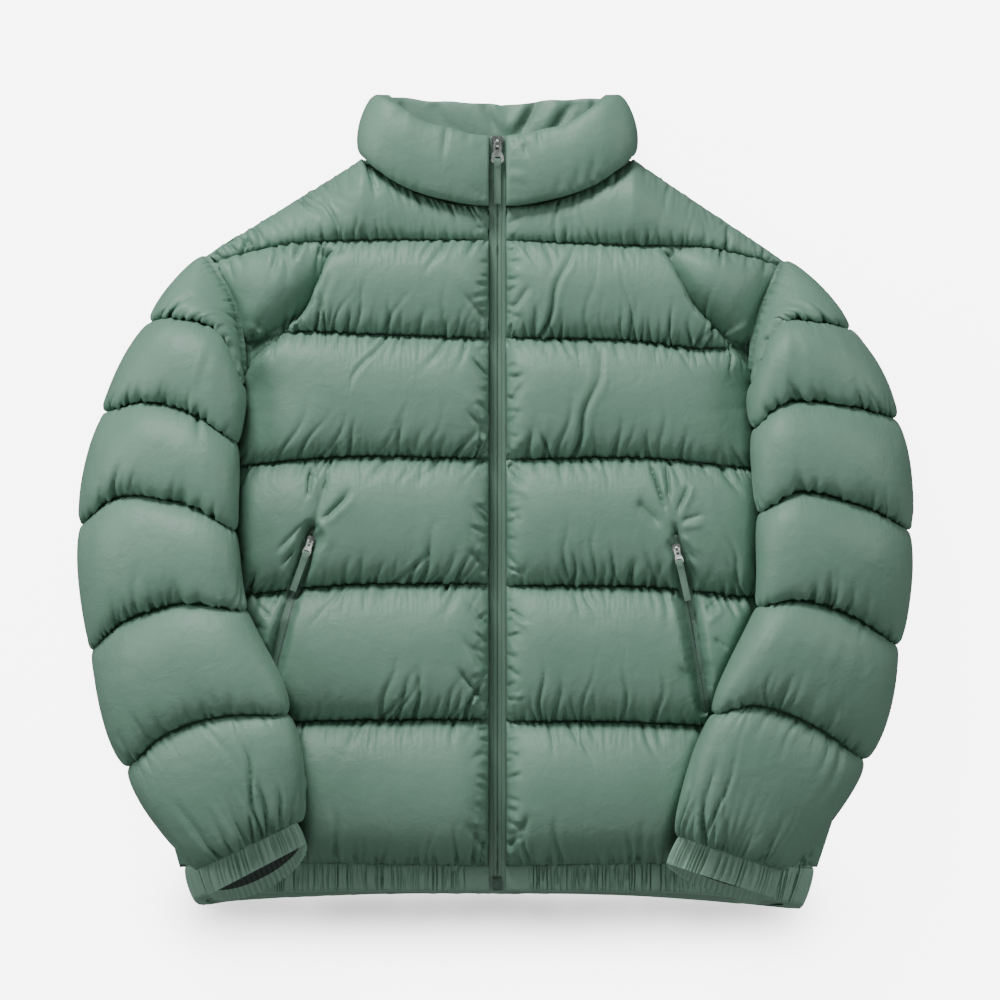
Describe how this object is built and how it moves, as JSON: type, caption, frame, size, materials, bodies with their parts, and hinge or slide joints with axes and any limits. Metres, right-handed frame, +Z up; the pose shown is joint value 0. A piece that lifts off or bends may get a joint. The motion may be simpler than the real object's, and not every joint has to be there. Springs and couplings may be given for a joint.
{
  "type": "puffer jacket",
  "caption": "Quilted down jacket with stand collar, full front zip, zipped hand pockets, gathered cuffs and hem band, zipped up and laid flat on its back.",
  "frame": {"origin": "middle of the jacket's plan, on the surface that it lies on", "axes": "+Y towards the collar, +Z up from the surface, +X to the wearer's left"},
  "size_m": [0.7898, 0.7744, 0.1375],
  "materials": {
    "shell_nylon": "smooth sage green nylon with a soft sheen, down filled",
    "elastic_band": "the same nylon gathered over elastic",
    "zip_tape": "woven polyester tape over a covered coil",
    "zip_metal": "satin grey metal",
    "pull_strap": "flat woven strap, folded and stitched"
  },
  "bodies": {
    "jacket": {"back": "shell_nylon", "front_right": "shell_nylon", "front_left": "shell_nylon", "sleeve_right": "shell_nylon", "sleeve_left": "shell_nylon", "collar": "shell_nylon", "cuff_right": "elastic_band", "cuff_left": "elastic_band", "hem_band": "elastic_band", "zip_tape_right": "zip_tape", "zip_tape_left": "zip_tape", "pocket_zip_right": "zip_tape", "pocket_zip_left": "zip_tape", "zip_stop": "zip_metal", "slider_front": "zip_metal", "slider_pocket_right": "zip_metal", "slider_pocket_left": "zip_metal"},
    "pull_front_body": {"pull_front": "zip_metal", "strap_front": "pull_strap"},
    "pull_pocket_right_body": {"pull_pocket_right": "zip_metal", "strap_pocket_right": "pull_strap"},
    "pull_pocket_left_body": {"pull_pocket_left": "zip_metal", "strap_pocket_left": "pull_strap"}
  },
  "joints": [
    {"name": "front_pull_hinge", "type": "hinge", "parent": "jacket", "child": "pull_front_body", "pos_m": [0.00241, 0.34026, 0.06843], "axis": [-1, 0, 0], "range_deg": [0, 170]},
    {"name": "pocket_pull_right_hinge", "type": "hinge", "parent": "jacket", "child": "pull_pocket_right_body", "pos_m": [-0.17439, -0.03627, 0.07566], "axis": [-0.9394, 0.3429, 0], "range_deg": [0, 170]},
    {"name": "pocket_pull_left_hinge", "type": "hinge", "parent": "jacket", "child": "pull_pocket_left_body", "pos_m": [0.17156, -0.04376, 0.08204], "axis": [-0.9744, -0.2249, 0], "range_deg": [0, 170]}
  ]
}
